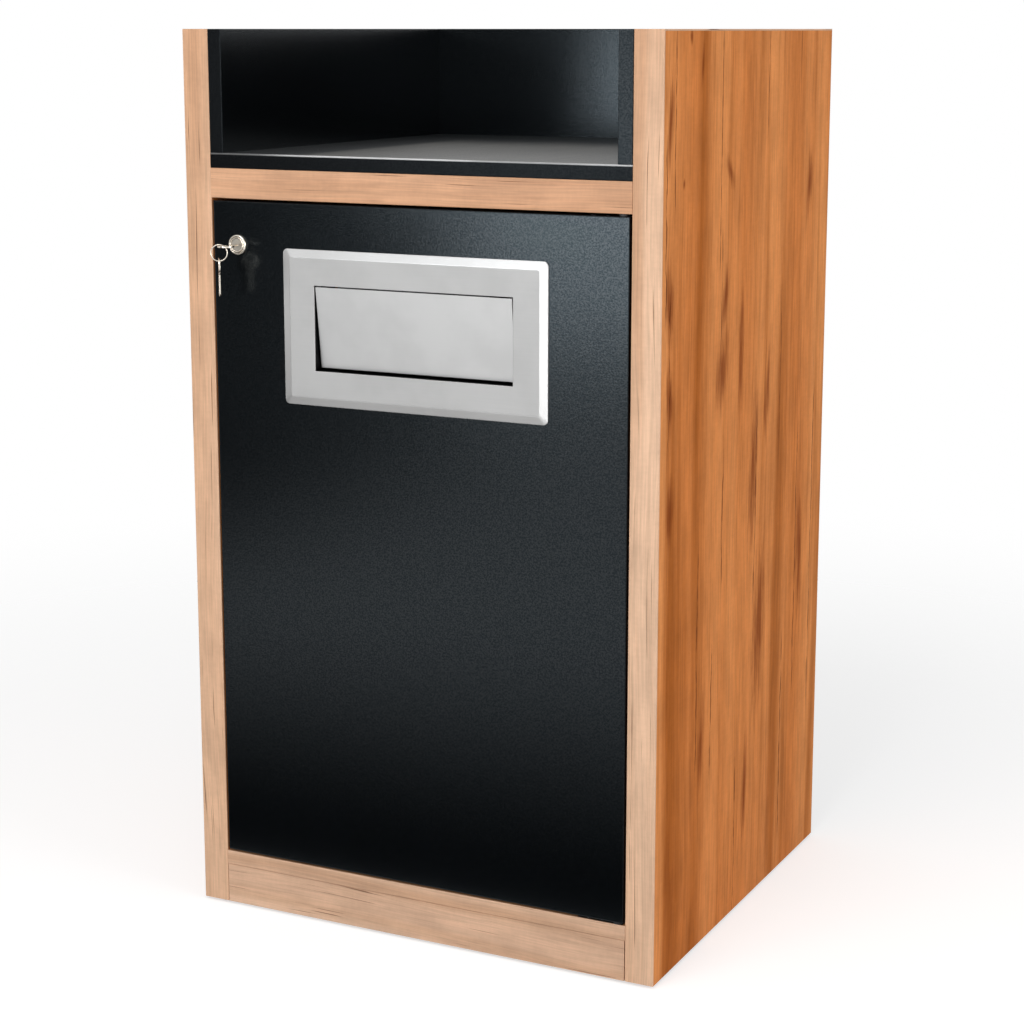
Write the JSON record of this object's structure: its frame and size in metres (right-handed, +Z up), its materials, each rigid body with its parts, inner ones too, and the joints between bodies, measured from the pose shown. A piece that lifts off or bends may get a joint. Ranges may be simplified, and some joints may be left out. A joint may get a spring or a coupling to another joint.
{
  "type": "waste bin cabinet",
  "caption": "Floor-standing waste cabinet with oak-decor sides, a black lockable door with a steel push flap, and an open tray holder on top.",
  "frame": {"origin": "on the floor, at the centre of the overall footprint, with the key and its ring in it", "axes": "+X to the right seen from the front, +Y from the door towards the back, +Z up"},
  "size_m": [0.624, 0.6086, 1.1],
  "materials": {
    "oak_board": "oak decor laminate, satin",
    "oak_edging": "oak decor edging, satin",
    "black_board": "black laminate, fine pearl",
    "black_edging": "satin",
    "stainless": "brushed",
    "black_steel": "black coated",
    "zinc_steel": "zinc plated",
    "cast_zinc": "as cast",
    "nickel": "nickel plated",
    "nylon": "matt",
    "black_nylon": "matt",
    "rubber": "matt",
    "beech": "raw",
    "bin_plastic": "fine grain"
  },
  "bodies": {
    "carcass": {"cam_locks": "cast_zinc", "cam_bolts": "zinc_steel", "beech_dowels": "beech", "floor_glides": "nylon", "back_screws": "zinc_steel", "tray_floor_screws": "zinc_steel", "upper_frame_pivot": "zinc_steel", "lower_frame_pivot": "zinc_steel", "frame_pivot_screws": "zinc_steel", "pivot_washers": "black_nylon", "strike_plate": "zinc_steel", "strike_screws": "zinc_steel", "door_buffer": "rubber", "left_side_panel": "oak_board", "left_front_edging": "oak_edging", "right_side_panel": "oak_board", "right_front_edging": "oak_edging", "side_top_edging": "oak_edging", "side_rear_edging": "oak_edging", "bottom_panel": "oak_board", "bottom_panel_edging": "oak_edging", "front_plinth": "oak_board", "rear_plinth": "oak_board", "back_panel": "black_board", "back_panel_edging": "black_edging", "upper_front_rail": "oak_board", "upper_rail_edging": "oak_edging", "upper_rear_rail": "oak_board", "tray_floor": "black_board", "tray_floor_edging": "black_edging", "left_tray_wall": "black_board", "right_tray_wall": "black_board", "tray_wall_edging": "black_edging", "waste_bin": "bin_plastic"},
    "door": {"door_panel": "black_board", "door_edging": "black_edging", "upper_door_pivot": "zinc_steel", "lower_door_pivot": "zinc_steel", "door_pivot_screws": "zinc_steel", "flap_frame": "stainless", "flap_sleeve": "black_steel", "flap_bushes": "nylon", "flap_stop_strip": "rubber", "frame_studs": "stainless", "stud_washers": "zinc_steel", "stud_nuts": "zinc_steel", "flap_back_plate": "stainless", "lock_housing": "nickel", "lock_nut": "zinc_steel"},
    "flap": {"flap": "stainless", "flap_pin": "stainless", "flap_pin_clips": "zinc_steel"},
    "lock_barrel": {"lock_plug": "nickel", "lock_cam": "zinc_steel", "cam_screw": "zinc_steel", "key": "nickel"},
    "key_ring": {"key_ring": "nickel"},
    "spare_key": {"spare_key": "nickel"}
  },
  "joints": [
    {"name": "door_swing", "type": "hinge", "parent": "carcass", "child": "door", "pos_m": [0.264, -0.25517, 0.48525], "axis": [0, 0, 1], "range_deg": [0, 115]},
    {"name": "flap_swing", "type": "hinge", "parent": "door", "child": "flap", "pos_m": [0, -0.25757, 0.7935], "axis": [1, 0, 0], "range_deg": [-6.8, 80]},
    {"name": "lock_turn", "type": "hinge", "parent": "door", "child": "lock_barrel", "pos_m": [-0.239, -0.26167, 0.845], "axis": [0, -1, 0], "range_deg": [0, 90]},
    {"name": "key_ring_hang", "type": "hinge", "parent": "lock_barrel", "child": "key_ring", "pos_m": [-0.239, -0.29142, 0.845], "axis": [0, -1, 0], "range_deg": [-90, 0]},
    {"name": "spare_key_swing", "type": "hinge", "parent": "key_ring", "child": "spare_key", "pos_m": [-0.24434, -0.29516, 0.828], "axis": [0.8192, 0.5736, 0], "range_deg": [-35, 35]}
  ],
  "couplings": [
    {"joint": "key_ring_hang", "follows": "lock_turn", "ratio": -1}
  ]
}
